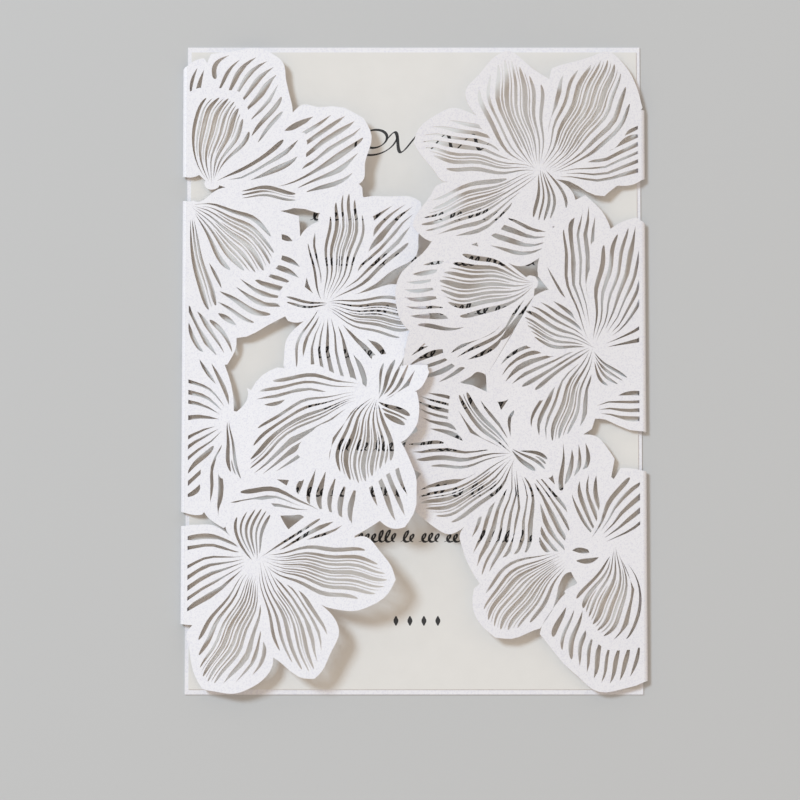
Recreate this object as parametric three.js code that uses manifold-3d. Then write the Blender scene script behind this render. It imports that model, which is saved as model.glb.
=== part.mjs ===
// A laser-cut gate-fold invitation card, lying on its back.
// X runs across the card, Y up its height and Z out of its front, in millimetres.
// The origin is on the surface that the card lies on, under the middle of the back panel.
import * as THREE from "three";
import { mergeVertices } from "three/addons/utils/BufferGeometryUtils.js";
import Module from "manifold-3d";

const wasm = await Module();
wasm.setup();

// The folded card.
const CARD_WIDTH = 127;
const CARD_HEIGHT = 178;

// The pearl card that is cut and folded, and its two folds.
const SHEET_THICKNESS = 0.3;
const FOLD_INSIDE_RADIUS = 0.7;
const FOLD_STEPS = 6;
const BACK_EDGE_INSET = 0.2; // from the start of the fold to the plain edge beside it

// How far the gates spring up at the middle of the card.
const GATE_LIFT = 6;
const GATE_TWIST = 2.6; // the left gate stands this much higher at the foot and lower at the top
const TWIST_LENGTH = 18; // over about this length the two gates change places

// The place where the right gate stops lying on the left one and slips under it.
const CROSSING_ACROSS = 60.6;
const CROSSING_DOWN = 86.5;
const CROSSING_SLIT_LENGTH = 5;
const CROSSING_SLIT_WIDTH = 0.3;

// The insert.
const INSERT_THICKNESS = 0.3;
const INSERT_SIDE_MARGIN = 2.2;
const INSERT_END_MARGIN = 1.4;

// The cutwork.
const RIM_WIDTH = 2.4; // plain card left round each petal
const RIM_FOOT_SHARE = 0.2; // the rim narrows to this share of its width at a petal's foot
const RIM_GROWTH = 1.4; // share of the rim's width gained over a whole petal
const FLOWER_CENTRE_RADIUS = 2.2;
const SLOT_SHARE = 0.47; // of the pitch from one slot to the next
const SLOT_VARIATION = 0.25; // share by which the slots of a petal differ in width
const SLOT_VARIATION_STEP = 2.4; // radians of that variation from one slot to the next
const SLOT_WIDEST = 1.5;
const SLOT_NARROWEST = 0.34;
const SLOT_PITCH_LEAST = 0.85;
const SLOT_SHORTEST = 3;
const SLOT_STRAIGHT = 15; // a slot under this length needs only one stop between its ends
const SHORT_SLOT_STOPS = [[0.62, 1]]; // share of the slot's length and of its full width there
const LONG_SLOT_STOPS = [[0.36, 0.75], [0.76, 1]];
const SLOT_AREA_LEAST = 2.75;
const FOLD_MARGIN = 0.9; // plain card between a slot and the fold
const PETAL_FOOT_SWELL = 0.03; // the petal's outline as shares of half a sine wave
const PETAL_TIP_SWELL = 0.72;
const PETAL_CAP = 0.27; // how far the round end of a petal falls back at its sides
const SIDE_STOPS = [0, 0.22, 0.47]; // points along a petal's side, as shares of its length
const CAP_STOPS = [1, 0.8, 0.45, 0]; // points across its end, from its side to its tip

// The drawing that the two lists of flowers are measured on: across from the card's left side
// and down from its top, for a card of this size. It is stretched to fit the card.
const DRAWING_WIDTH = 127;
const DRAWING_HEIGHT = 178;

// Each flower is a foot and its petals, the front one first. A petal is its tip, across and down,
// then its half width, its sideways bend, its number of slots and the share of its length that
// is plain at the foot. A petal with a foot of its own names it last.
const LEFT_FLOWERS = [
  { foot: [21.5, 141.5], petals: [
    [59.5, 147.5, 10, 0, 7, 0.12],
    [36.5, 174, 10, -2, 8, 0.12],
    [24, 126, 9, -2, 8, 0.18],
    [6, 176.5, 12.5, -3, 9, 0.2],
    [-6, 157, 10, 2, 6, 0.12],
    [-7, 143, 9, 2, 5, 0.2],
    [47, 131, 8.5, 2, 6, 0.12],
    [11, 127, 6, 3, 3, 0.06, [37, 128.5]],
  ] },
  { foot: [53.5, 98], petals: [
    [50, 123, 12, 2, 8, 0.12],
    [32, 113, 6, -3, 3, 0.3],
    [18, 119, 11, 3, 8, 0.2],
    [62, 133, 8.5, 3, 4, 0.2],
    [18, 99, 7.5, 3, 5, 0.25],
    [46, 136, 17, 3, 10, 0.55],
    [61, 84, 8, 2, 5, 0.1],
    [65, 105, 8, 1, 4, 0.3],
  ] },
  { foot: [39.5, 72], petals: [
    [45, 38.5, 8, 2, 6, 0.12],
    [65, 44, 10.5, -2, 7, 0.12],
    [68, 76, 8.5, 1, 6, 0.12],
    [66, 93, 9, -2, 5, 0.12],
    [26, 70.5, 5.5, 0, 4, 0.2],
    [37, 49, 6, 0, 4, 0.12],
    [46, 103, 14, -2, 8, 0.12],
    [35, 95, 7, 2, 4, 0.14],
  ] },
  { foot: [14.5, 103], petals: [
    [25.5, 99, 8.5, 2, 8, 0.2],
    [20, 122, 7, 1, 5, 0.2],
    [12, 133, 7.5, 1, 4, 0.12],
    [-8, 124, 12, -2, 7, 0.14],
    [-10, 106, 7, -1, 3, 0.14],
    [-10, 95, 8, 2, 4, 0.14],
    [2, 84, 8.5, -2, 5, 0.12],
  ] },
  { foot: [3, 45], petals: [
    [24, 64, 11, -2, 7, 0.1],
    [10, 75, 7.5, 2, 4, 0.2],
    [34, 69, 19, 3, 12, 0.6, [-2, 44]],
    [13, 88, 9.5, 3, 6, 0.2, [0, 58]],
    [-8, 68, 8, 2, 3, 0.25, [8, 56]],
    [36, 43, 4.5, -3, 2, 0.5],
  ] },
  { foot: [8, 38], petals: [
    [15, 13, 12.5, -3, 8, 0.1],
    [6, 3.6, 7, -3, 4, 0.2, [4, 34]],
    [-8, 20, 8, -3, 2, 0.2, [8, 34]],
    [34, 24, 6.5, 3, 3, 0.14],
    [50, 20, 13.5, 3, 8, 0.4, [12, 40]],
    [27, 4, 14.5, -4, 9, 0.5],
    [50, 44, 8, -4, 4, 0.2],
  ] },
];

const RIGHT_FLOWERS = [
  { foot: [98, 35], petals: [
    [98, 51, 9, 1, 8, 0.2],
    [89.5, 2.6, 12, 3, 8, 0.12],
    [117, 2, 13.5, -3, 9, 0.12],
    [62.5, 28, 10, -2, 7, 0.12],
    [63, 51, 9.5, 2, 7, 0.12],
    [137, 20, 10, -3, 7, 0.12],
    [125, 34, 10, 3, 6, 0.12],
  ] },
  { foot: [113, 83], petals: [
    [124, 92.5, 7.5, -2, 7, 0.2],
    [124.5, 47.5, 11, -2, 7, 0.12],
    [110.5, 41.5, 8.5, 2, 6, 0.12],
    [137, 70, 12, -3, 6, 0.12],
    [92, 73, 9, 0, 7, 0.12],
    [86, 95, 10, -3, 7, 0.12],
    [100, 112, 11, -3, 8, 0.12],
    [99, 53, 8, -2, 5, 0.12],
    [137, 97, 11, 3, 7, 0.2, [107, 101]],
  ] },
  { foot: [95, 66], petals: [
    [68, 66, 12, 1, 7, 0.1],
    [80, 49, 8, 3, 4, 0.2, [105, 53]],
    [57.5, 69, 15, 2, 10, 0.6],
    [71, 86, 10, 3, 7, 0.14],
    [84, 98, 7, 3, 3, 0.14, [91, 76]],
    [60, 92, 10, -2, 6, 0.2, [90, 80]],
  ] },
  { foot: [118, 139], petals: [
    [111, 163, 13.5, 4, 9, 0.1],
    [85, 163, 11, -4, 8, 0.2, [107, 141]],
    [135, 155, 17, 4, 7, 0.14],
    [135, 120, 14, -2, 8, 0.16, [111, 138]],
    [112, 176.5, 18, 2, 12, 0.55],
    [112, 116, 9, 2, 6, 0.12],
    [104, 141, 8, 0, 4, 0.3],
  ] },
  { foot: [90.5, 112], petals: [
    [99, 100, 8.5, 1, 6, 0.2],
    [101, 119, 5.5, 1, 3, 0.2],
    [76, 94, 7.5, 2, 4, 0.12],
    [61, 98, 9, -2, 7, 0.12],
    [60, 112, 8, 0, 5, 0.14],
    [62, 126, 10.5, 3, 8, 0.12],
    [81, 148, 11, 3, 8, 0.12],
    [106, 145, 12, -2, 9, 0.12],
    [109.5, 107, 9, -2, 6, 0.14, [104, 127]],
  ] },
];

const FOLD_OUTSIDE_RADIUS = FOLD_INSIDE_RADIUS + SHEET_THICKNESS;
const FOLD_MIDDLE_RADIUS = FOLD_INSIDE_RADIUS + SHEET_THICKNESS / 2;
const FOLD_LENGTH = Math.PI * FOLD_MIDDLE_RADIUS; // of card used up by one fold
const BACK_HALF_WIDTH = CARD_WIDTH / 2 - FOLD_OUTSIDE_RADIUS; // up to the start of the fold
const GATE_START = BACK_HALF_WIDTH + FOLD_LENGTH; // on the flat blank
const TALL = 8; // height of the bodies that shapes are cut with
const TALLER = 16;
const SAME_PLACE = 1e-3; // corners nearer than this are one corner
const START_STEP = 0.02; // share of a petal's length tried at a time for the start of a slot
const CIRCLE_POINTS = 8;

// A solid for joining and cutting, from a closed geometry.
function solidFrom(geometry) {
  const bare = geometry.clone();
  bare.deleteAttribute("normal");
  bare.deleteAttribute("uv");
  const merged = mergeVertices(bare, 1e-5);
  const vertProperties = new Float32Array(merged.attributes.position.array);
  const triVerts = new Uint32Array(merged.index.array);
  return new wasm.Manifold(new wasm.Mesh({ numProp: 3, vertProperties, triVerts }));
}

// Upright bodies over flat outlines, with their middle at the height of the sheet's middle.
function upright(outlines, height) {
  const shapes = outlines.map((points) => new THREE.Shape(points));
  const geometry = new THREE.ExtrudeGeometry(shapes, { depth: height, bevelEnabled: false });
  geometry.translate(0, 0, (SHEET_THICKNESS - height) / 2);
  return solidFrom(geometry);
}

function rectangle(left, right, low, high) {
  return [
    new THREE.Vector2(left, low),
    new THREE.Vector2(right, low),
    new THREE.Vector2(right, high),
    new THREE.Vector2(left, high),
  ];
}

function circle(middle, radius) {
  const shape = new THREE.EllipseCurve(middle.x, middle.y, radius, radius, 0, 2 * Math.PI);
  return shape.getPoints(CIRCLE_POINTS).slice(0, -1);
}

// Takes a point of the drawing to the flat blank. The blank lies open with its inside up, so each
// gate is drawn outwards from its fold, the left one to the left and the right one to the right.
function onBlank([across, down], side) {
  const x = (across * CARD_WIDTH) / DRAWING_WIDTH - CARD_WIDTH / 2;
  const fromFold = CARD_WIDTH / 2 - side * x;
  const y = CARD_HEIGHT / 2 - (down * CARD_HEIGHT) / DRAWING_HEIGHT;
  return new THREE.Vector2(side * (GATE_START - FOLD_OUTSIDE_RADIUS + fromFold), y);
}

// A petal as a bent leaf: place(along, beside) gives its points, with along from 0 at the foot
// to 1 at the tip and beside from -1 to 1 across it.
function leaf(foot, tip, halfWidth, bend) {
  const chord = tip.clone().sub(foot);
  const sideways = new THREE.Vector2(-chord.y, chord.x).normalize();
  const middle = foot.clone().lerp(tip, 0.5).addScaledVector(sideways, 2 * bend);
  const spine = new THREE.QuadraticBezierCurve(foot, middle, tip);
  const swellAt = (along) => PETAL_FOOT_SWELL + (PETAL_TIP_SWELL - PETAL_FOOT_SWELL) * along;
  const halfWidthAt = (along) => halfWidth * Math.sin(Math.PI * swellAt(along));
  const place = (along, offset) => {
    const tangent = spine.getTangent(along);
    const normal = new THREE.Vector2(-tangent.y, tangent.x);
    return spine.getPoint(along).addScaledVector(normal, offset);
  };
  return { length: chord.length(), halfWidthAt, place };
}

// The outline of a leaf: up one side, round the end and down the other side.
function leafOutline({ halfWidthAt, place }) {
  const half = (sign) => [
    ...SIDE_STOPS.map((along) => place(along, sign * halfWidthAt(along))),
    ...CAP_STOPS.map((beside) => {
      const along = 1 - PETAL_CAP * beside * beside;
      return place(along, sign * beside * halfWidthAt(along));
    }),
  ];
  const right = half(-1);
  const left = half(1).reverse().slice(1);
  return [...right, ...left];
}

// The slots of a leaf fan out from its foot and end at its rim. Every second slot starts where
// the leaf is wide enough for half of them, the others where it is wide enough for all. A slot
// is widest past its middle.
function leafSlots({ length, halfWidthAt, place }, count, start) {
  const rimAt = (along) => RIM_WIDTH * Math.min(1, RIM_FOOT_SHARE + RIM_GROWTH * along);
  const room = (along) => Math.max(0, halfWidthAt(along) - rimAt(along));
  const slots = [];
  for (let k = 0; k < count; k += 1) {
    const beside = (2 * (k + 0.5)) / count - 1;
    const end = 1 - RIM_WIDTH / length - PETAL_CAP * beside * beside;
    const pitchLeast = k % 2 ? SLOT_PITCH_LEAST : SLOT_PITCH_LEAST / 2;
    let begin = start;
    while (begin < end && (2 * room(begin)) / count < pitchLeast) begin += START_STEP;
    if ((end - begin) * length < SLOT_SHORTEST) continue;
    const variation = 1 + SLOT_VARIATION * Math.sin(SLOT_VARIATION_STEP * k + count);
    const halfSlot = (along) => {
      const width = ((2 * room(along)) / count) * SLOT_SHARE * variation;
      return Math.min(SLOT_WIDEST, Math.max(SLOT_NARROWEST, width)) / 2;
    };
    const stop = (share, opening) => {
      const along = begin + (end - begin) * share;
      const middle = beside * room(along);
      return [middle - halfSlot(along) * opening, middle + halfSlot(along) * opening].map(
        (offset) => place(along, offset),
      );
    };
    const isShort = (end - begin) * length < SLOT_STRAIGHT;
    const sides = (isShort ? SHORT_SLOT_STOPS : LONG_SLOT_STOPS).map((each) => stop(...each));
    const near = sides.map(([point]) => point);
    const far = sides.map(([, point]) => point).reverse();
    slots.push([stop(0, 0)[0], ...near, stop(1, 0)[0], ...far]);
  }
  return slots;
}

// One gate on the flat blank: the petals are laid from front to back, each hiding what it covers
// of the slots behind it. The gate is the ground that they cover together, less their slots.
function gate(flowers, side) {
  let ground = null;
  const slots = [];
  for (const { foot: flowerFoot, petals } of flowers) {
    const centre = upright([circle(onBlank(flowerFoot, side), FLOWER_CENTRE_RADIUS)], TALLER);
    ground = ground ? ground.add(centre) : centre;
    for (const [across, down, halfWidth, bend, count, start, ownFoot] of petals) {
      const foot = onBlank(ownFoot ?? flowerFoot, side);
      const tip = onBlank([across, down], side);
      const petal = leaf(foot, tip, halfWidth, -side * bend);
      const cuts = leafSlots(petal, count, start);
      if (cuts.length) {
        const cutBody = upright(cuts, TALL);
        slots.push(cutBody.subtract(ground));
      }
      ground = ground.add(upright([leafOutline(petal)], TALLER));
    }
  }
  const slotStart = GATE_START + FOLD_MARGIN;
  const slotEnd = GATE_START + CARD_WIDTH;
  const [near, far] = side > 0 ? [slotStart, slotEnd] : [-slotEnd, -slotStart];
  const slotZone = upright([rectangle(near, far, -CARD_HEIGHT, CARD_HEIGHT)], TALLER);
  const kept = slots
    .flatMap((body) => body.intersect(slotZone).decompose())
    .filter((body) => body.volume() > SLOT_AREA_LEAST * TALL);
  const open = kept.reduce((sum, body) => sum.add(body));
  return { ground, open };
}

// A short slit where the gates change places, so that they pass each other side by side.
function crossingCut(side) {
  const across = CROSSING_ACROSS - (side * CROSSING_SLIT_WIDTH) / 2;
  const high = onBlank([across, CROSSING_DOWN - CROSSING_SLIT_LENGTH / 2], side);
  const low = onBlank([across, CROSSING_DOWN + CROSSING_SLIT_LENGTH / 2], side);
  const outer = side * (GATE_START + CARD_WIDTH);
  const [left, right] = side > 0 ? [high.x, outer] : [outer, high.x];
  return upright([rectangle(left, right, low.y, high.y)], TALLER);
}

// The whole blank as the laser leaves it, flat.
function flatBlank() {
  const edge = BACK_HALF_WIDTH - BACK_EDGE_INSET;
  const top = CARD_HEIGHT / 2;
  const left = gate(LEFT_FLOWERS, -1);
  const right = gate(RIGHT_FLOWERS, 1);
  const back = upright([rectangle(-edge, edge, -top, top)], TALLER);
  const widest = GATE_START + CARD_WIDTH;
  const stock = upright([rectangle(-widest, widest, -top, top)], SHEET_THICKNESS);
  const gates = left.ground.subtract(crossingCut(-1)).add(right.ground.subtract(crossingCut(1)));
  return back.add(gates).intersect(stock).subtract(left.open.add(right.open));
}

// Places are rounded to a fine grid, so that corners in the same place have the same numbers.
function onGrid(value) {
  return Math.round(value / SAME_PLACE) * SAME_PLACE;
}

// Where two strips meet, each has to have the corners of the other. A triangle with an edge along
// the line between them is split at the corners that lie inside that edge.
function splitAlong(faces, lines) {
  const near = (a, b) => Math.abs(a - b) < SAME_PLACE;
  const stops = lines.map((line) => {
    const heights = faces.flat().filter(([x]) => near(x, line)).map(([, y]) => y);
    return [...new Set(heights)];
  });
  return faces.flatMap((face) => {
    for (let i = 0; i < 3; i += 1) {
      const [from, to, tip] = [face[i], face[(i + 1) % 3], face[(i + 2) % 3]];
      const at = lines.findIndex((line) => near(from[0], line) && near(to[0], line));
      if (at < 0) continue;
      const [low, high] = [Math.min(from[1], to[1]), Math.max(from[1], to[1])];
      const inside = stops[at].filter((y) => y > low + 2 * SAME_PLACE && y < high - 2 * SAME_PLACE);
      inside.sort((a, b) => (to[1] > from[1] ? a - b : b - a));
      const chain = [from, ...inside.map((y) => [from[0], y, from[2]]), to];
      return chain.slice(1).map((next, k) => [chain[k], next, tip]);
    }
    return [face];
  });
}

// The flat blank cut across its folds into strips narrow enough to bend, each as the triangles
// of its inner face.
function stripsOf(blank, lines) {
  const strips = [];
  for (let i = 0; i + 1 < lines.length; i += 1) {
    const zone = upright([rectangle(lines[i], lines[i + 1], -CARD_HEIGHT, CARD_HEIGHT)], TALLER);
    const { vertProperties, triVerts, numProp } = blank.intersect(zone).getMesh();
    const corner = (v) => {
      const [x, y, z] = vertProperties.subarray(v * numProp, v * numProp + 3);
      return [onGrid(x), onGrid(y), z];
    };
    for (let t = 0; t < triVerts.length; t += 3) {
      const face = [...triVerts.subarray(t, t + 3)].map(corner);
      if (face.every(([, , z]) => z > SHEET_THICKNESS * 0.9)) strips.push(face);
    }
  }
  return strips;
}

// How high a gate stands over the middle of the card, for each place up the card.
function gateLift(y, side) {
  const fromCrossing = y - (CARD_HEIGHT / 2 - (CROSSING_DOWN * CARD_HEIGHT) / DRAWING_HEIGHT);
  return GATE_LIFT + (side * GATE_TWIST * fromCrossing) / Math.hypot(fromCrossing, TWIST_LENGTH);
}

// Folds a point of the blank. Height runs from 0 on its outer face to the thickness of the sheet.
function fold(x, y, height) {
  const side = Math.sign(x);
  const beyond = Math.abs(x) - BACK_HALF_WIDTH;
  if (beyond <= 0) return [x, y, height];
  const rise = Math.atan(gateLift(y, side) / BACK_HALF_WIDTH);
  const turn = Math.min(beyond / FOLD_MIDDLE_RADIUS, Math.PI - rise);
  const radius = FOLD_OUTSIDE_RADIUS - height;
  const straight = beyond - turn * FOLD_MIDDLE_RADIUS;
  const out = BACK_HALF_WIDTH + radius * Math.sin(turn) + straight * Math.cos(turn);
  const up = FOLD_OUTSIDE_RADIUS - radius * Math.cos(turn) + straight * Math.sin(turn);
  return [side * out, y, up];
}

// The folded sheet: the strips' triangles on both faces, and a wall round each free edge.
function foldedSheet(blank) {
  const halfLines = [];
  for (let i = 0; i <= FOLD_STEPS; i += 1) {
    halfLines.push(BACK_HALF_WIDTH + (FOLD_LENGTH * i) / FOLD_STEPS);
  }
  const outer = GATE_START + CARD_WIDTH;
  const lines = [-outer, ...halfLines.map((x) => -x).reverse(), ...halfLines, outer];
  const key = ([x, y]) => `${x},${y}`;
  const hasThreeCorners = (face) => new Set(face.map(key)).size === 3;
  const faces = splitAlong(stripsOf(blank, lines), lines).filter(hasThreeCorners);
  const edges = new Map();
  for (const face of faces) {
    face.forEach((from, i) => {
      const to = face[(i + 1) % 3];
      const back = `${key(to)}|${key(from)}`;
      if (edges.has(back)) edges.delete(back);
      else edges.set(`${key(from)}|${key(to)}`, [from, to]);
    });
  }
  const positions = [];
  const addTriangle = (...corners) => {
    corners.forEach(([x, y, height]) => positions.push(...fold(x, y, height)));
  };
  const inside = ([x, y]) => [x, y, SHEET_THICKNESS];
  const outside = ([x, y]) => [x, y, 0];
  for (const [a, b, c] of faces) {
    addTriangle(inside(a), inside(b), inside(c));
    addTriangle(outside(c), outside(b), outside(a));
  }
  for (const [from, to] of edges.values()) {
    addTriangle(inside(to), inside(from), outside(from));
    addTriangle(inside(to), outside(from), outside(to));
  }
  const geometry = new THREE.BufferGeometry();
  geometry.setAttribute("position", new THREE.Float32BufferAttribute(positions, 3));
  const merged = mergeVertices(geometry, SAME_PLACE / 100);
  merged.computeVertexNormals();
  return merged;
}

function insertGeometry() {
  const width = CARD_WIDTH - 2 * INSERT_SIDE_MARGIN;
  const height = CARD_HEIGHT - 2 * INSERT_END_MARGIN;
  const geometry = new THREE.BoxGeometry(width, height, INSERT_THICKNESS);
  geometry.translate(0, 0, SHEET_THICKNESS + INSERT_THICKNESS / 2);
  return geometry;
}

function piece(name, geometry, colour, roughness, metalness) {
  const material = new THREE.MeshStandardMaterial({ color: colour, roughness, metalness });
  const mesh = new THREE.Mesh(geometry, material);
  mesh.name = name;
  return mesh;
}

const card = new THREE.Group();
card.add(piece("gatefold_wrap", foldedSheet(flatBlank()), 0xf4f3f6, 0.4, 0.1));
card.add(piece("insert_card", insertGeometry(), 0xf0ede6, 0.7, 0));

export default card;
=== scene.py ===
# %% [markdown]
# # A laser-cut wedding invitation
# The card is one sheet of pearl card. A laser cuts flowers into its two gates, and the sheet is
# then folded twice, so that the gates lie over an ivory insert. The solid model already has the
# folded sheet with its cutwork in straight-edged steps. This script loads that model, redraws the
# cutwork with smooth curves on the same folded sheet, prints the insert and adds the finishes.

import math
import random

import bmesh
import bpy
import numpy as np
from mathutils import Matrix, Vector
from mathutils.geometry import delaunay_2d_cdt
from mathutils.kdtree import KDTree


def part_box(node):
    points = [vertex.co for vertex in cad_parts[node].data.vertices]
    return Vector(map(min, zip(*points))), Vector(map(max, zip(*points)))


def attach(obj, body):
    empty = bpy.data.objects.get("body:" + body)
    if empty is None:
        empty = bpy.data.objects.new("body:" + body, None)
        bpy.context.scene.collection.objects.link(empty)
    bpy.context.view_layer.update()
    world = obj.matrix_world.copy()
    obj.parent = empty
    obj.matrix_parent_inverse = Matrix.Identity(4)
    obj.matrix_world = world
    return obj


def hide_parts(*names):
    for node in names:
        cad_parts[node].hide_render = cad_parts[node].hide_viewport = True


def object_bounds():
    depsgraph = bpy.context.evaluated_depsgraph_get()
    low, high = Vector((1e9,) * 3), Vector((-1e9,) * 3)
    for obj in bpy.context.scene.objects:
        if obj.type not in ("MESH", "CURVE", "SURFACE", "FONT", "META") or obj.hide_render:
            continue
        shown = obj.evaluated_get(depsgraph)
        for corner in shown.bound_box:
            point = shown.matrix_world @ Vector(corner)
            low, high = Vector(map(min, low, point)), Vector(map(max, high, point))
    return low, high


MM = 0.001
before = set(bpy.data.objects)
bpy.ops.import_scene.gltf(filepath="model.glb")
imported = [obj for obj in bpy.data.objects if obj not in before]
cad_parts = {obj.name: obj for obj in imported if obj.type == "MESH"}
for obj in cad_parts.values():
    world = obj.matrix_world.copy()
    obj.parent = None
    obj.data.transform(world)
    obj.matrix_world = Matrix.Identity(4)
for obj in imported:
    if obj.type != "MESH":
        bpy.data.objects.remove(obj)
solid_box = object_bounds()
insert_low, insert_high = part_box("insert_card")
print("solid box in mm:", [[round(c / MM, 2) for c in corner] for corner in solid_box])

# %% [markdown]
# ## Measure the folded sheet
# Everything drawn later is placed from the solid model, so its sheet is measured first. The insert
# rests on the back panel, so its underside gives the thickness of the card. The widest place that
# still touches the table is where the fold begins, and the rest of the half width is the fold's
# outside radius.

# %% Measure the sheet and its folds
SAME_PLACE = 1e-6  # m; corners nearer than this are one corner

folded = bmesh.new()
folded.from_mesh(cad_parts["gatefold_wrap"].data)
bmesh.ops.remove_doubles(folded, verts=folded.verts, dist=SAME_PLACE)
folded.normal_update()
SHEET = insert_low.z / MM
FOLD_X = max(abs(v.co.x) for v in folded.verts if v.co.z < SAME_PLACE) / MM
FOLD_RADIUS = solid_box[1].x / MM - FOLD_X
HALF_HEIGHT = solid_box[1].y / MM
print(f"sheet {SHEET:.2f} mm, fold at {FOLD_X:.2f} mm, radius {FOLD_RADIUS:.2f} mm")

# %% [markdown]
# ## Find the two gates
# A gate is everything that stands above the insert and lies inside the folds. Its upper face is
# enough to know its cutwork, because the laser cuts straight through. The two gates overlap in the
# middle, so they are told apart by what hangs together, not by where they are.

# %% Sort the sheet's faces into gates and the rest
GATE_LOWEST = 1.2 * FOLD_RADIUS  # the back panel lies lower
UPWARD = 0.7  # least upward part of an upper face's normal
SCRAP_FACES = 50  # a patch with fewer faces isn't a gate


def is_gate(face):
    middle = face.calc_center_median() / MM
    return middle.z > GATE_LOWEST and abs(middle.x) < FOLD_X


def hangs_together(start, allowed):
    """All the allowed faces that can be reached from one face."""
    found, queue = {start}, [start]
    while queue:
        for edge in queue.pop().edges:
            for face in edge.link_faces:
                if face in allowed and face not in found:
                    found.add(face)
                    queue.append(face)
    return found


gate_faces = {f for f in folded.faces if is_gate(f)}
upper_faces = {f for f in gate_faces if f.normal.z > UPWARD}
gates = []
left_over = set(upper_faces)
while left_over:
    gates.append(hangs_together(next(iter(left_over)), left_over))
    left_over -= gates[-1]
gates = [g for g in gates if len(g) > SCRAP_FACES]
print("gates:", len(gates), "upper faces:", [len(g) for g in gates])

# %% [markdown]
# ## Read the outlines
# The edge of the upper face is a set of closed loops: the outline of the gate and one loop for
# each slot. Corners on the fold stay where they are, because the gate joins the bend there.
# Elsewhere corners that nearly touch become one, because a very short side would throw the curve
# that is laid through it later.

# %% Walk round each loop
ON_FOLD = 0.2  # mm; corners this near to a fold are on it
SHORTEST_ON_FOLD = 0.02  # mm
SHORTEST_SIDE = 0.12  # mm


def loops_of(faces):
    """The closed loops round a set of faces, as lists of corners."""
    following = {}
    for face in faces:
        for loop in face.loops:
            if not any(f in faces for f in loop.edge.link_faces if f is not face):
                following.setdefault(loop.vert, []).append(loop.link_loop_next.vert)
    loops = []
    while following:
        start = next(iter(following))
        here, walk = start, []
        while here in following:
            walk.append(here)
            after = following[here].pop()
            if not following[here]:
                del following[here]
            here = after
        loops.append(walk)
    return loops


def on_fold(points):
    return np.abs(np.abs(points[:, 0]) - FOLD_X) < ON_FOLD


def drawn(loop):
    """A loop as points in millimetres across and up the card, without any that nearly touch."""
    points = np.array([(v.co.x / MM, v.co.y / MM) for v in loop])
    gap = np.linalg.norm(points - np.roll(points, 1, 0), axis=1)
    return points[gap > np.where(on_fold(points), SHORTEST_ON_FOLD, SHORTEST_SIDE)]


# %% [markdown]
# ## Smooth curves
# A laser follows smooth curves. The solid model keeps only a few corners on each, so a curve is
# laid through them: at each corner it heads the way a parabola through three neighbours would.
# Where the outline turns sharply, such as between two petals, the corner stays sharp. A slot whose
# curve would leave its straight sides by too much is drawn again with more of its corners sharp.

# %% Lay a smooth curve through the corners of a loop
SHARP_TURN = 48  # degrees; a sharper turn than this stays a corner
CURVE_STEP = 7  # degrees between two points of a curve
CURVE_STEPS = (2, 10)  # least and most points on the curve between two corners
CALMER_TURNS = (SHARP_TURN, 30, 15)  # degrees, tried in turn for a slot
STRAY_MOST = 0.68  # mm between a slot's curve and its straight sides


def turns_of(points):
    """Length and heading of each side, the heading before it and the turn between in degrees."""
    ahead = np.roll(points, -1, 0) - points
    length = np.linalg.norm(ahead, axis=1)
    heading = ahead / length[:, None]
    came = np.roll(heading, 1, 0)
    turn = np.degrees(np.arccos(np.clip((came * heading).sum(1), -1, 1)))
    return length, heading, came, turn


def smooth_loop(points, sharp=SHARP_TURN):
    """A closed curve through the corners of a loop. A turn of more than sharp stays a corner."""
    length, heading, came, turn = turns_of(points)
    behind = np.roll(length, 1)
    corner = on_fold(points) | (turn > sharp)
    flow = (came * length[:, None] + heading * behind[:, None]) / (length + behind)[:, None]
    curve = []
    for i in range(len(points)):
        j = (i + 1) % len(points)
        leave = 2 * heading[i] - flow[j] if corner[i] else flow[i]
        arrive = 2 * heading[i] - flow[i] if corner[j] else flow[j]
        if corner[i] and corner[j]:
            curve.append(points[i])
            continue
        bend = math.degrees(Vector(leave).angle(Vector(arrive), 0))
        steps = int(np.clip(math.ceil(bend / CURVE_STEP), *CURVE_STEPS))
        for k in range(steps):
            u = k / steps
            curve.append(
                points[i] * (2 * u**3 - 3 * u**2 + 1)
                + points[j] * (3 * u**2 - 2 * u**3)
                + leave * length[i] * (u**3 - 2 * u**2 + u)
                + arrive * length[i] * (u**3 - u**2)
            )
    return np.array(curve)


def area(points):
    """The area inside a loop, in square millimetres."""
    x, y = points.T
    return abs((x * np.roll(y, -1) - y * np.roll(x, -1)).sum()) / 2


def strays(curve, points):
    """How far a curve gets from the straight sides of its loop, in millimetres."""
    side = np.roll(points, -1, 0) - points
    away = curve[:, None] - points[None]
    share = ((away * side).sum(2) / (side * side).sum(1)).clip(0, 1)
    return np.linalg.norm(away - share[..., None] * side, axis=2).min(1).max()


def calm_loop(points):
    """The smoothest curve through the corners of a slot that stays near its straight sides."""
    for sharp in CALMER_TURNS:
        curve = smooth_loop(points, sharp)
        if strays(curve, points) < STRAY_MOST:
            return curve
    return points


# %% [markdown]
# ## Slots like drops
# A whole slot is a long drop: a fine point towards the middle of the flower, widest near the rim,
# and a round end. The solid model has it as four or six corners with a tip at each end. The two
# tips give the middle line and the corners between them its width, and the drop is drawn from
# those. A slot that a petal in front hides in part has a cut end, and only gets smooth sides, and
# so does one whose drop would stray from its straight sides.

# %% Draw a whole slot as a drop
TIP_TURN = 115  # degrees; both ends of a whole slot turn more than this
SIDE_TURN = 70  # degrees; no other corner of a whole slot turns more than this
SIDE_STEPS = 9
END_STEPS = 7
SWELL = 0.75  # how soon a drop gets wide: under 1 is fuller near its point
SWELL_RANGE = (0.5, 1.2)


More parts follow.
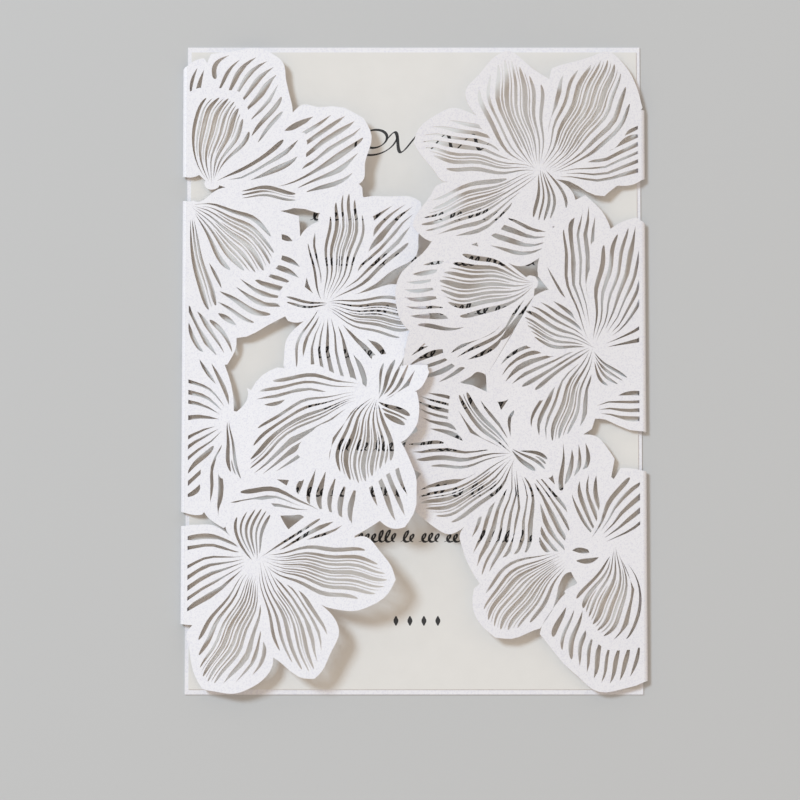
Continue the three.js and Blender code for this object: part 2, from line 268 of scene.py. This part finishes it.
def drop(points, longer=0.0):
    """The outline of a whole slot, or None if the loop isn't one. Its point can be drawn out."""
    n = len(points)
    turn = turns_of(points)[3]
    if n not in (4, 6):
        return None
    first = int(turn.argmax())
    tips = {first, (first + n // 2) % n}
    others = set(range(n)) - tips
    if any(turn[i] < TIP_TURN for i in tips) or any(turn[i] > SIDE_TURN for i in others):
        return None
    ring = np.roll(points, -first, 0)
    middles = [(ring[k] + ring[-k]) / 2 for k in range(1, n // 2)]
    halves = [np.linalg.norm(ring[k] - ring[-k]) / 2 for k in range(1, n // 2)]
    line = [ring[0], *middles, ring[n // 2]]
    if np.linalg.norm(line[0] - middles[-1]) < np.linalg.norm(line[-1] - middles[0]):
        line, halves = line[::-1], halves[::-1]
    line = np.array(line)
    back = line[0] - line[1]
    line[0] += back / np.linalg.norm(back) * longer
    stops = np.concatenate([[0], np.cumsum(np.linalg.norm(np.diff(line, axis=0), axis=1))])
    widest = stops[-2]
    rounding = stops[-1] - widest
    swell = SWELL
    if len(halves) == 2:
        swell = math.log(halves[0] / halves[1])
        swell /= math.log(math.sin(math.pi / 2 * stops[1] / widest))
        swell = np.clip(swell, *SWELL_RANGE)
    degree = min(3, len(line) - 1)
    fit_x = np.polyfit(stops, line[:, 0], degree)
    fit_y = np.polyfit(stops, line[:, 1], degree)
    side = [widest * k / SIDE_STEPS for k in range(SIDE_STEPS)]
    end = [widest + rounding * math.sin(math.pi / 2 * k / END_STEPS) for k in range(END_STEPS)]
    near, far = [], []
    for s in side[1:] + end:
        half = halves[-1] * (
            math.sin(math.pi / 2 * s / widest) ** swell
            if s < widest
            else math.sqrt(1 - ((s - widest) / rounding) ** 2)
        )
        along = np.array([np.polyval(np.polyder(fit_x), s), np.polyval(np.polyder(fit_y), s)])
        across = np.array([-along[1], along[0]]) / np.linalg.norm(along)
        place = np.array([np.polyval(fit_x, s), np.polyval(fit_y, s)])
        near.append(place + across * half)
        far.append(place - across * half)
    outline = np.array([line[0], *near, line[-1], *far[::-1]])
    return outline if longer or strays(outline, points) < STRAY_MOST else None


# %% [markdown]
# ## Fine veins
# In the real cutwork a finer slot runs between most of the wide ones. The solid model leaves these
# out to stay light. Here the middle line between two neighbouring slots is tried: wherever enough
# card is left on both sides, a narrow slot is cut along it. Slots of different petals are too far
# apart to count as neighbours, so the plain rims stay plain.

# %% Cut fine veins between neighbouring slots
WEB_LEAST = 0.34  # mm of card left between two slots
VEIN_HALF = 0.36  # mm, half the width of a vein where there is room
VEIN_THIN = 0.09  # mm, where half a vein would be less than this it stops
VEIN_GAP = 3.4  # mm between the middles of two slots that are neighbours
VEIN_SHORTEST = 3.0  # mm
VEIN_STOPS = 26
VEIN_STOPS_LEAST = 4
VEIN_LEAN = 0.8  # under 1 puts a vein's widest place nearer its start
VEIN_FULL = 0.6  # under 1 makes it fuller towards its ends


def spaced_along(curve):
    """Points along a closed curve, four to each of its sides."""
    after = np.roll(curve, -1, 0)
    return np.concatenate([curve * (1 - u) + after * u for u in (0, 0.25, 0.5, 0.75)])


def middle_line(outline):
    """Points along the middle of a drop, from its point to its round end."""
    line = np.array([(outline[k] + outline[-k]) / 2 for k in range(len(outline) // 2 + 1)])
    run = np.concatenate([[0], np.cumsum(np.linalg.norm(np.diff(line, axis=0), axis=1))])
    even = np.linspace(0, run[-1], VEIN_STOPS)
    return np.stack([np.interp(even, run, line[:, axis]) for axis in (0, 1)], 1)


def longest_run(allowed):
    """The longest unbroken stretch of allowed stops, as a slice."""
    best, start = (0, 0), None
    for k, ok in enumerate([*allowed, False]):
        if ok and start is None:
            start = k
        if not ok and start is not None:
            best = max(best, (k - start, start))
            start = None
    return slice(best[1], best[1] + best[0])


def veins_between(drops, curves):
    """Narrow slots between the drops, clear of all the curves."""
    cuts = np.concatenate([spaced_along(curve) for curve in curves])
    tree = KDTree(len(cuts))
    for x, y in cuts:
        tree.insert((x, y, 0), 0)
    tree.balance()
    lines = [middle_line(d) for d in drops if d is not None]
    veins = []
    for a, first in enumerate(lines):
        for second in lines[a + 1 :]:
            gap = np.linalg.norm(first - second, axis=1)
            if gap[VEIN_STOPS // 2 :].max() > VEIN_GAP:
                continue
            line = (first + second) / 2
            room = np.array([tree.find((x, y, 0))[2] for x, y in line]) - WEB_LEAST
            run = longest_run(room > VEIN_THIN)
            line, half = line[run], np.minimum(room[run], VEIN_HALF)
            if len(line) < VEIN_STOPS_LEAST or np.linalg.norm(line[-1] - line[0]) < VEIN_SHORTEST:
                continue
            share = np.linspace(0, 1, len(line))
            half = half * np.sin(math.pi * share**VEIN_LEAN).clip(0) ** VEIN_FULL
            heading = np.gradient(line, axis=0)
            heading /= np.linalg.norm(heading, axis=1)[:, None]
            across = np.stack([-heading[:, 1], heading[:, 0]], 1) * half[:, None]
            near, far = (line + across)[1:-1], (line - across)[1:-1]
            veins.append(np.concatenate([line[:1], near, line[-1:], far[::-1]]))
    return veins


# %% [markdown]
# ## A wavering line
# The artist drew the petals by hand, so their veins waver. One gentle wave field moves every curve
# by up to about half a millimetre. Neighbouring curves move together, so no web of card between
# two slots gets thin, and the field fades out at the folds.

# %% Let the curves waver
WAVER = 0.42  # mm, each way
WAVE_LENGTH = 14.0  # mm
WAVE_SLANTS = (0.35, -0.3)  # the two waves run at a slant, so that their pattern doesn't show
WAVE_START = 1.3  # radians of the second wave at the middle of the card
WAVER_FADE = 5.0  # mm beside a fold


def waver(points):
    x, y = points.T
    fade = 1 - np.exp(-(((FOLD_X - abs(x)).clip(0) / WAVER_FADE) ** 2))
    shift_x = np.sin(2 * math.pi * (y + WAVE_SLANTS[0] * x) / WAVE_LENGTH)
    shift_y = np.sin(2 * math.pi * (x + WAVE_SLANTS[1] * y) / WAVE_LENGTH + WAVE_START)
    return points + WAVER * fade[:, None] * np.stack([shift_x, shift_y], 1)


# %% [markdown]
# ## How the gates lie
# The gates were folded flat once and have sprung up a little. The left one stands higher at the
# foot of the card and the right one at its top, because they slip past each other on the way. At
# every height on the card a gate rises in a straight line from its fold, so its slope there is all
# that is needed to put the new outlines back on it.

# %% Measure the slope of a gate
SLOPE_BANDS = 45
SLOPE_REACH = 14.0  # mm from the fold; nearer corners tell too little


def slope_of(faces, side):
    """A function that gives the slope of a gate for places up the card."""
    corners = {v for f in faces for v in f.verts}
    place = np.array([tuple(v.co / MM) for v in corners])
    reach = FOLD_X - side * place[:, 0]
    far = reach > SLOPE_REACH
    slope = (place[far, 2] - 2 * FOLD_RADIUS) / reach[far]
    height = place[far, 1]
    bands = np.linspace(-HALF_HEIGHT, HALF_HEIGHT, SLOPE_BANDS)
    width = bands[1] - bands[0]
    measured = [b for b in bands if (abs(height - b) < width).any()]
    mean = []
    for b in measured:
        weight = np.clip(1 - abs(height - b) / width, 0, 1) + 1e-9
        mean.append(float((slope * weight).sum() / weight.sum()))
    return lambda y: np.interp(y, measured, mean)


# %% [markdown]
# ## Fill between the outlines
# The outlines are joined up by triangles, and what lies inside an odd number of loops is card.
# Starting outside and changing over at every outline sorts the triangles into card and holes.
# A sprung gate is slightly twisted, so loose points are spread over its wide plain places too.
# Without them a long flat triangle would show there as a crease.

# %% Fill a gate between its loops
LOOSE_STEP = 3.5  # mm from one loose point to the next
LOOSE_GAP = 0.6  # mm from a loose point to the outlines
CLOSE = 1e-5  # mm; points nearer than this are joined


def loose_points(loops):
    """Points spread evenly over a gate, away from its outlines."""
    outline = np.concatenate(loops)
    low, high = outline.min(0), outline.max(0)
    spread = [
        (x, y)
        for x in np.arange(low[0] + LOOSE_STEP / 2, high[0], LOOSE_STEP)
        for y in np.arange(low[1] + LOOSE_STEP / 2, high[1], LOOSE_STEP)
    ]
    return [p for p in spread if np.linalg.norm(outline - p, axis=1).min() > LOOSE_GAP]


def filled(loops):
    """The corners and triangles of the card between the loops."""
    corners, edges = [], []
    for loop in loops:
        base, n = len(corners), len(loop)
        corners += [Vector(p) for p in loop]
        edges += [(base + k, base + (k + 1) % n) for k in range(n)]
    corners += [Vector(p) for p in loose_points(loops)]
    places, lines, faces, _, line_source, _ = delaunay_2d_cdt(corners, edges, [], 0, CLOSE, True)
    outline = {frozenset(line) for line, source in zip(lines, line_source) if source}
    beside = {}
    for f, face in enumerate(faces):
        for k in range(3):
            beside.setdefault(frozenset((face[k], face[(k + 1) % 3])), []).append(f)
    is_card = {}
    queue = []
    for edge, pair in beside.items():
        if len(pair) == 1 and pair[0] not in is_card:
            is_card[pair[0]] = edge in outline
            queue.append(pair[0])
    while queue:
        f = queue.pop()
        for k in range(3):
            edge = frozenset((faces[f][k], faces[f][(k + 1) % 3]))
            for other in beside[edge]:
                if other not in is_card:
                    is_card[other] = is_card[f] != (edge in outline)
                    queue.append(other)
    card = [face for f, face in enumerate(faces) if is_card[f]]
    used = sorted({corner for face in card for corner in face})
    number = {old: new for new, old in enumerate(used)}
    return [places[old] for old in used], [tuple(number[c] for c in face) for face in card]


# %% [markdown]
# ## Draw the cutwork
# All the curves of a gate are made here: whole slots as drops, cut ones and the outline as smooth
# loops, and the veins between them. The solid model stops a slot where its neighbours come close.
# The real ones run on in a fine point, so each drop is drawn out as far as there is room.

# %% Draw the curves of a gate
DRAWN_OUT = (3.5, 2.8, 2.1, 1.4, 0.7)  # mm that the point of a slot may gain
FOLD_PLAIN = 0.8  # mm of plain card kept beside the fold
PAST_FOLD = 1.0  # mm; no curve goes further past the fold than this


def drawn_out(loops):
    """The whole slots as drops, each with its point drawn out as far as its neighbours allow."""
    drops = [drop(loop) for loop in loops]
    taken = [loop if new is None else new for loop, new in zip(loops, drops)]
    for k, loop in enumerate(loops):
        if drops[k] is None:
            continue
        others = np.concatenate([spaced_along(t) for j, t in enumerate(taken) if j != k])
        for longer in DRAWN_OUT:
            longest = drop(loop, longer)
            point = np.concatenate([longest[: SIDE_STEPS // 2], longest[-(SIDE_STEPS // 2) :]])
            gap = np.linalg.norm(others[:, None] - point[None], axis=2).min()
            if gap > WEB_LEAST and abs(longest[:, 0]).max() < FOLD_X - FOLD_PLAIN:
                drops[k] = taken[k] = longest
                break
    return drops


def cutwork(faces):
    """The outline, the slots and the veins of a gate, as closed curves in millimetres."""
    loops = [drawn(loop) for loop in loops_of(faces)]
    loops = [loop for loop in loops if len(loop) > 2]
    drops = drawn_out(loops)
    outline = max(loops, key=area)
    curves = [
        new if new is not None else smooth_loop(loop) if loop is outline else calm_loop(loop)
        for loop, new in zip(loops, drops)
    ]
    veins = veins_between(drops, curves)
    whole = sum(new is not None for new in drops)
    print(f"a gate has {len(loops) - 1} slots, {whole} of them whole, and {len(veins)} veins")
    corner = np.array([FOLD_X + PAST_FOLD, HALF_HEIGHT])
    return [np.clip(waver(curve), -corner, corner) for curve in curves + veins]


# %% [markdown]
# ## Build the dressed sheet
# Each gate gets an upper face, an under face and a wall round every cut. The walls have a finish
# of their own: a laser scorches the edge that it leaves, and their brown is made darker still as
# painted warm shade inside the slots. The back panel and the two bends are taken over from the
# solid model as they are, and the whole sheet becomes one piece.

# %% Build the sheet from the new gates, the back and the bends
# a wall's finish is the laser's scorch, made darker with painted warm shade
PEARL, SCORCHED_AND_SHADED = 0, 1
SEAM = 0.15  # mm; a gate has no wall this near to its fold, where the bend goes on
SHARP_EDGE = math.radians(40)  # a sharper edge than this isn't shaded as one surface
places, polygons, finishes = [], [], []


def add_gate(faces):
    side = 1 if sum(f.calc_center_median().x for f in faces) > 0 else -1
    slope = slope_of(faces, side)
    flat, triangles = filled(cutwork(faces))
    flat = np.array([tuple(p) for p in flat])
    rise = slope(flat[:, 1])
    top = 2 * FOLD_RADIUS + (FOLD_X - side * flat[:, 0]) * rise
    under = top - SHEET * np.sqrt(1 + rise**2)
    base, count = len(places), len(flat)
    for level in (top, under):
        places.extend((x * MM, y * MM, z * MM) for (x, y), z in zip(flat, level))
    walls = {}
    for a, b, c in triangles:
        turning = np.cross(flat[b] - flat[a], flat[c] - flat[a])
        a, b, c = (a, b, c) if turning > 0 else (a, c, b)
        polygons.append((base + a, base + b, base + c))
        polygons.append((base + count + c, base + count + b, base + count + a))
        finishes.extend((PEARL, PEARL))
        for edge in ((a, b), (b, c), (c, a)):
            if edge[::-1] in walls:
                del walls[edge[::-1]]
            else:
                walls[edge] = True
    for a, b in walls:
        if min(abs(flat[a][0]), abs(flat[b][0])) <= FOLD_X - SEAM:
            polygons.append((base + b, base + a, base + count + a, base + count + b))
            finishes.append(SCORCHED_AND_SHADED)


for gate in gates:
    add_gate(gate)
base = len(places)
kept = [f for f in folded.faces if f not in gate_faces]
number = {v: base + k for k, v in enumerate({v: None for f in kept for v in f.verts})}
places.extend(tuple(v.co) for v in number)
for face in kept:
    polygons.append(tuple(number[v] for v in face.verts))
    finishes.append(PEARL)
mesh = bpy.data.meshes.new("pearl_gatefold")
mesh.from_pydata(places, [], polygons)
mesh.polygons.foreach_set("material_index", finishes)
mesh.validate()
mesh.shade_smooth()
mesh.set_sharp_from_angle(angle=SHARP_EDGE)
pearl_gatefold = bpy.data.objects.new("pearl_gatefold", mesh)
bpy.context.scene.collection.objects.link(pearl_gatefold)
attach(pearl_gatefold, "root")
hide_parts("gatefold_wrap")
print("dressed sheet:", len(mesh.polygons), "faces")

# %% [markdown]
# ## One helper for materials
# All finishes are node materials. Colours are written as on a colour chart, in sRGB, and one
# function turns them into the linear values that the renderer counts with. A second one adds a
# node with its settings and links.

# %% Colours and nodes
def colour(code):
    """A colour written like #C8BFB0, as linear RGBA."""
    parts = [int(code[k : k + 2], 16) / 255 for k in (1, 3, 5)]
    return (*[p / 12.92 if p <= 0.04045 else ((p + 0.055) / 1.055) ** 2.4 for p in parts], 1)


def add(tree, kind, inputs=None, **settings):
    """Adds a node. A setting is a property of it; an input is a value or another node's socket."""
    made = tree.nodes.new(kind)
    for name, value in settings.items():
        setattr(made, name, value)
    for name, value in (inputs or {}).items():
        if isinstance(value, bpy.types.NodeSocket):
            tree.links.new(value, made.inputs[name])
        else:
            made.inputs[name].default_value = value
    return made


def new_material(name):
    """An empty material, its node tree and the place on the card in metres."""
    material = bpy.data.materials.new(name)
    material.use_nodes = True
    tree = material.node_tree
    tree.nodes.clear()
    place = add(tree, "ShaderNodeTexCoord").outputs["Object"]
    return material, tree, place


# %% [markdown]
# ## Pearlescent card
# Pearl card is wood-fibre board with a coating that holds flakes of mica. It looks cool white, is
# softly glossy, and shows a fine sparkle because each flake lies at its own small angle: some
# shine, and others turn away from the lamp, which is painted in as a darker lavender speck, painted
# shade. Real flakes are about 0.05 mm; here they are 0.32 mm, since smaller ones vanish in the
# picture.

# %% Pearlescent card
FLAKE = 0.32 * MM
TOOTH = 0.45 * MM  # the fine unevenness of the coated board
CLOUD = 22 * MM  # the coating is a little thicker in some places than in others

pearl, tree, place = new_material("pearlescent_card")
clouds = add(tree, "ShaderNodeTexNoise", {"Vector": place, "Scale": 1 / CLOUD, "Detail": 3.0})
flakes = add(tree, "ShaderNodeTexVoronoi", {"Vector": place, "Scale": 1 / FLAKE})
tooth = add(tree, "ShaderNodeTexNoise", {"Vector": place, "Scale": 1 / TOOTH, "Detail": 4.0})
flake_tone = add(tree, "ShaderNodeSeparateColor", {"Color": flakes.outputs["Color"]})
tint = add(
    tree,
    "ShaderNodeMix",
    {"Factor": clouds.outputs["Fac"], "A": colour("#EAE8EB"), "B": colour("#F1EFF2")},
    data_type="RGBA",
)
# painted shade: a flake turned away from the lamp gets a darker lavender colour
flake_painted_shade = add(
    tree,
    "ShaderNodeMapRange",
    {"Value": flake_tone.outputs["Blue"], "From Min": 0.5, "From Max": 1.0, "To Max": 0.36},
)
# the card's tint with the painted flake shade mixed in
tint_with_flake_shade = add(
    tree,
    "ShaderNodeMix",
    {"Factor": flake_painted_shade.outputs["Result"], "A": tint.outputs["Result"], "B": colour("#CDCBDB")},
    data_type="RGBA",
)
shine = add(
    tree,
    "ShaderNodeMapRange",
    {
        "Value": flake_tone.outputs["Red"],
        "From Min": 0.8,
        "From Max": 1.0,
        "To Min": 0.5,
        "To Max": 0.24,
    },
)
relief = add(
    tree,
    "ShaderNodeMath",
    {0: flake_tone.outputs["Green"], 1: tooth.outputs["Fac"]},
    operation="ADD",
)
bump = add(
    tree,
    "ShaderNodeBump",
    {"Height": relief.outputs["Value"], "Strength": 0.22, "Distance": 0.02 * MM},
)
shader = add(
    tree,
    "ShaderNodeBsdfPrincipled",
    {
        "Base Color": tint_with_flake_shade.outputs["Result"],
        "Roughness": shine.outputs["Result"],
        "Normal": bump.outputs["Normal"],
        "IOR": 1.5,
        "Coat Weight": 0.12,
        "Coat Roughness": 0.3,
    },
)
add(tree, "ShaderNodeOutputMaterial", {"Surface": shader.outputs["BSDF"]})
print("material:", pearl.name)

# %% [markdown]
# ## Laser-cut edge
# The laser burns its way through, so the wall of a cut is matt and slightly toasted, from straw to
# light brown, darker where the beam slowed down. Both browns are deeper than the scorch alone, as
# painted warm shade, and show as a warm line inside every slot.

# %% Laser-cut edge
SCORCH = 2.5 * MM

edge, tree, place = new_material("laser_cut_edge_scorch_and_shade")
wall_scorch_and_shade_mottle = add(tree, "ShaderNodeTexNoise", {"Vector": place, "Scale": 1 / SCORCH, "Detail": 2.0})
# painted warm shade: both browns are darker than the laser's scorch alone
wall_scorch_and_shade_colour = add(
    tree,
    "ShaderNodeMix",
    {"Factor": wall_scorch_and_shade_mottle.outputs["Fac"], "A": colour("#DDC9B2"), "B": colour("#BD9F82")},
    data_type="RGBA",
)
shader = add(
    tree,
    "ShaderNodeBsdfPrincipled",
    {"Base Color": wall_scorch_and_shade_colour.outputs["Result"], "Roughness": 0.85, "IOR": 1.5},
)
add(tree, "ShaderNodeOutputMaterial", {"Surface": shader.outputs["BSDF"]})
for finish in (pearl, edge):
    mesh.materials.append(finish)

# %% [markdown]
# ## Uncoated ivory card
# The insert is plain uncoated board. It is warmer than the wrap and dull, with a faint mottle
# from the way the fibres settle and a soft tooth that can be felt more than seen.

# %% Uncoated ivory card
FIBRE = 0.6 * MM
MOTTLE = 6 * MM

ivory, tree, place = new_material("uncoated_ivory_card")
mottle = add(tree, "ShaderNodeTexNoise", {"Vector": place, "Scale": 1 / MOTTLE, "Detail": 5.0})
fibres = add(tree, "ShaderNodeTexNoise", {"Vector": place, "Scale": 1 / FIBRE, "Detail": 6.0})
tone = add(
    tree,
    "ShaderNodeMix",
    {"Factor": mottle.outputs["Fac"], "A": colour("#E1DEDA"), "B": colour("#E7E4E0")},
    data_type="RGBA",
)
felt = add(
    tree,
    "ShaderNodeBump",
    {"Height": fibres.outputs["Fac"], "Strength": 0.3, "Distance": 0.03 * MM},
)
shader = add(
    tree,
    "ShaderNodeBsdfPrincipled",
    {
        "Base Color": tone.outputs["Result"],
        "Roughness": 0.8,
        "IOR": 1.5,
        "Normal": felt.outputs["Normal"],
    },
)
add(tree, "ShaderNodeOutputMaterial", {"Surface": shader.outputs["BSDF"]})
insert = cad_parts["insert_card"]
if not insert.material_slots:
    insert.data.materials.append(ivory)
insert.material_slots[0].material = ivory

# %% [markdown]
# ## Pen scrolls
# The insert is printed in black with lines of script. Here they are plain pen scrolls that spell
# nothing: a pen that circles while it moves on draws a row of loops. Some loops are taller, groups
# of them stand for words, and the stroke is thick or thin with its direction, as from a broad nib.

# %% Draw the scrolls
INK_LIFT = 0.02  # mm of ink above the insert
NIB_ANGLE = math.radians(35)
SLANT = 0.35
STROKE_START = 0.2  # share of its width with which a stroke starts and ends
STROKE_OPENS = 4  # steps in which it opens to its full width
pen = random.Random(11)
ink_places, ink_faces = [], []


def on_insert(across, down, up=0.0):
    """A place given from the left side and the top of the card, and from a line of writing up."""
    return (across - FOLD_X - FOLD_RADIUS, HALF_HEIGHT - down + up)


def stroke(path, thin, thick):
    """Lays a flat ribbon of ink along a path, in millimetres."""
    path = np.array(path)
    heading = np.gradient(path, axis=0)
    heading /= np.linalg.norm(heading, axis=1)[:, None]
    facing = abs(np.sin(np.arctan2(heading[:, 1], heading[:, 0]) - NIB_ANGLE))
    steps = np.arange(len(path))
    taper = np.minimum(steps, steps[::-1]) / STROKE_OPENS + STROKE_START
    half = (thin + (thick - thin) * facing) / 2 * np.minimum(1, taper)
    across = np.stack([-heading[:, 1], heading[:, 0]], 1) * half[:, None]
    base = len(ink_places)
    level = insert_high.z / MM + INK_LIFT
    for spot, offset in zip(path, across):
        for place in (spot + offset, spot - offset):
            ink_places.append((place[0] * MM, place[1] * MM, level * MM))
    for k in range(len(path) - 1):
        ink_faces.append((base + 2 * k, base + 2 * k + 1, base + 2 * k + 3, base + 2 * k + 2))


# %% [markdown]
# ## Lines of writing
# One function draws a line: it breaks it up into words of two to six loops, and makes now and then
# a loop tall. The lines stand where the lines of a real insert would.

# %% Draw the lines of scrolls
LOOP_PITCH, LOOP_HEIGHT = 1.8, 2.1  # mm
LOOP_STEPS = 16
LOOP_WIDTH = 0.42  # half a loop's width as a share of the pitch
LOOP_HEIGHTS = (1, 1, 1.1, 1.9, 0.9)  # times the height, drawn by lot
WORD_GAP = 0.8  # times the pitch
PEN_THIN = 0.2  # mm
PEN_THICK = 0.58 * LOOP_HEIGHT**0.35  # mm; a wider pen for taller writing


def scroll(left, right, down):
    """A line of looped pen work, with measures from the left side and the top of the card."""
    across = left
    while across < right - 2 * LOOP_PITCH:
        loops = min(pen.randint(2, 6), int((right - across) / LOOP_PITCH))
        tall = [pen.choice(LOOP_HEIGHTS) for _ in range(loops + 1)]
        path = []
        for k in range(loops * LOOP_STEPS + 1):
            turn = 2 * math.pi * k / LOOP_STEPS
            size = LOOP_HEIGHT * np.interp(k / LOOP_STEPS, range(loops + 1), tall)
            up = size * (0.5 - 0.5 * math.cos(turn))
            swing = LOOP_WIDTH * LOOP_PITCH * math.sin(turn) + SLANT * up
            path.append(on_insert(across + LOOP_PITCH * k / LOOP_STEPS + swing, down, up))
        stroke(path, PEN_THIN, PEN_THICK)
        across += (loops + WORD_GAP) * LOOP_PITCH


for left, right, down in (
    (35, 98, 48), (33, 99, 60.5), (30, 98, 74), (36, 95, 86),
    (34, 98, 100), (32, 99, 111.5), (30, 108, 124), (27, 99, 136.5),
):
    scroll(left, right, down)
print("ink faces in the lines:", len(ink_faces))

# %% [markdown]
# ## Heading and marks
# The heading is a pen flourish: a curl that opens outwards and a swinging line that dies away. At
# the foot stand four plain lozenges, each one short stroke of a wide pen.

# %% Draw the heading and the marks
CURL_MIDDLE = (52.5, 26.0)  # mm from the left side and the top of the card
CURL_STEPS = 72
CURL_START, CURL_TURNS = 0.35, 1.7  # in whole turns
CURL_REACH, CURL_OPENS = 1.2, 3.4  # mm at its start, and gained on its way
CURL_WIDTH = 1.35  # times its height
SWING_START, SWING_DOWN = 55.5, 26.5  # mm from the left side and the top
SWING_STEPS = 96
SWING_ADVANCE = 0.3  # mm a step
SWING_PERIOD = 24  # steps
SWING_HEIGHT = 2.9  # mm
SWING_FADE = 0.35  # share of its height lost on its way
MARK_COUNT, MARK_GAP = 4, 3.8  # mm from one mark to the next
MARK_WIDTH, MARK_HEIGHT, MARK_EDGE = 1.5, 2.6, 0.5  # mm
MARKS_START, MARKS_DOWN = 58.6, 158  # mm from the left side and the top
MARK_STEPS = 8

curl = []
for k in range(CURL_STEPS + 1):
    turn = 2 * math.pi * (CURL_START + CURL_TURNS * k / CURL_STEPS)
    reach = CURL_REACH + CURL_OPENS * k / CURL_STEPS
    up = reach * math.sin(turn)
    across = CURL_WIDTH * reach * math.cos(turn) + SLANT * up
    curl.append(on_insert(CURL_MIDDLE[0] + across, CURL_MIDDLE[1], up))
stroke(curl, 0.26, 0.8)
swing = []
for k in range(SWING_STEPS + 1):
    height = SWING_HEIGHT * (1 - SWING_FADE * k / SWING_STEPS)
    up = height * math.sin(2 * math.pi * k / SWING_PERIOD)
    swing.append(on_insert(SWING_START + SWING_ADVANCE * k + SLANT * up, SWING_DOWN, up))
stroke(swing, 0.22, 0.95)
for k in range(MARK_COUNT):
    x, y = on_insert(MARKS_START + MARK_GAP * k, MARKS_DOWN)
    heights = [MARK_HEIGHT * (u / MARK_STEPS - 0.5) for u in range(MARK_STEPS + 1)]
    stroke([(x, y + up) for up in heights], MARK_EDGE, MARK_WIDTH)
ink_mesh = bpy.data.meshes.new("ink_scrolls")
ink_mesh.from_pydata(ink_places, [], ink_faces)
ink_scrolls = bpy.data.objects.new("ink_scrolls", ink_mesh)
bpy.context.scene.collection.objects.link(ink_scrolls)
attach(ink_scrolls, "root")
print("ink faces:", len(ink_faces))

# %% [markdown]
# ## Printing ink
# Black offset ink on uncoated board sinks in a little, so it is near black, dull, and a touch
# lighter where the fibres show through.

# %% Printing ink
ink, tree, place = new_material("black_offset_ink")
sunk = add(tree, "ShaderNodeTexNoise", {"Vector": place, "Scale": 1 / FIBRE, "Detail": 4.0})
black = add(
    tree,
    "ShaderNodeMix",
    {"Factor": sunk.outputs["Fac"], "A": colour("#141314"), "B": colour("#35312F")},
    data_type="RGBA",
)
shader = add(
    tree,
    "ShaderNodeBsdfPrincipled",
    {"Base Color": black.outputs["Result"], "Roughness": 0.6, "IOR": 1.5},
)
add(tree, "ShaderNodeOutputMaterial", {"Surface": shader.outputs["BSDF"]})
ink_mesh.materials.append(ink)

# %% [markdown]
# ## Floor
# The card lies on a plain pale surface. It is matt, so that it only takes the soft shadow.

# %% Floor
FLOOR_HALF = 2.0  # m
FLOOR_GAP = 0.05 * MM  # so that the floor and the card's back aren't one surface
floor_mesh = bpy.data.meshes.new("floor")
floor_mesh.from_pydata(
    [(x * FLOOR_HALF, y * FLOOR_HALF, -FLOOR_GAP) for x, y in ((-1, -1), (1, -1), (1, 1), (-1, 1))],
    [],
    [(0, 1, 2, 3)],
)
floor = bpy.data.objects.new("floor", floor_mesh)
bpy.context.scene.collection.objects.link(floor)
plain, tree, place = new_material("matt_pale_floor")
shader = add(
    tree,
    "ShaderNodeBsdfPrincipled",
    {"Base Color": colour("#C6C6C6"), "Roughness": 0.95, "IOR": 1.4},
)
add(tree, "ShaderNodeOutputMaterial", {"Surface": shader.outputs["BSDF"]})
floor_mesh.materials.append(plain)

# %% [markdown]
# ## Light
# A broad soft lamp stands up and to the left, so petals throw a soft shadow down to the right.
# An even surround fills the shadows. The lamp is a little cool, as daylight from a window is, and
# the surround a little warm, as a room is: lit card looks neutral and the slots look beige. Where
# the camera sees past the floor, the surround is a plain pale colour that adds no light.

# %% Lamps and surround
KEY_PLACE = Vector((-1.6, 1.2, 2.3))  # m
KEY_SIZE = 0.75  # m
KEY_WATTS = 58.0
FILL = 0.64

key_lamp = bpy.data.lights.new("key", "AREA")
key_lamp.size = KEY_SIZE
key_lamp.energy = KEY_WATTS
key_lamp.color = colour("#D8EDFF")[:3]
key = bpy.data.objects.new("key", key_lamp)
key.location = KEY_PLACE
key.rotation_euler = (-KEY_PLACE).to_track_quat("-Z", "Y").to_euler()
bpy.context.scene.collection.objects.link(key)
world = bpy.data.worlds.new("surround")
bpy.context.scene.world = world
world.use_nodes = True
tree = world.node_tree
tree.nodes.clear()
ray = add(tree, "ShaderNodeLightPath")
seen = add(
    tree,
    "ShaderNodeMath",
    {0: ray.outputs["Is Camera Ray"], 1: ray.outputs["Is Glossy Ray"]},
    operation="MAXIMUM",
)
fill = add(tree, "ShaderNodeBackground", {"Color": colour("#FFF1E1"), "Strength": FILL})
backdrop = add(tree, "ShaderNodeBackground", {"Color": colour("#E2E1DF"), "Strength": 1.0})
surround = add(
    tree,
    "ShaderNodeMixShader",
    {0: seen.outputs["Value"], 1: fill.outputs["Background"], 2: backdrop.outputs["Background"]},
)
add(tree, "ShaderNodeOutputWorld", {"Surface": surround.outputs["Shader"]})

# %% [markdown]
# ## Camera
# The picture was taken from straight in front of the card, a little towards its foot: the bottom
# edge is 1.6% wider than the top edge. The card fills 646 of the picture's 800 points in height,
# and its middle lies a little right of and above the middle of the picture. A long lens far away
# gives that slight widening.

# %% Camera
PICTURE = 800  # points across and down
POINTS_PER_MM = 3.665
DISTANCE = 1000  # mm
LEAN = math.radians(5.2)
AIM = Vector((-3.8, -8.9, 3.0)) * MM  # the place on the card in the middle of the picture
SENSOR = 36.0  # mm

lens = bpy.data.cameras.new("camera")
lens.sensor_width = SENSOR
lens.lens = POINTS_PER_MM * DISTANCE * SENSOR / PICTURE
camera = bpy.data.objects.new("camera", lens)
camera.location = AIM + Vector((0, -math.sin(LEAN), math.cos(LEAN))) * DISTANCE * MM
camera.rotation_euler = (LEAN, 0, 0)
bpy.context.scene.collection.objects.link(camera)
bpy.context.scene.camera = camera
bpy.context.scene.view_settings.view_transform = "Standard"
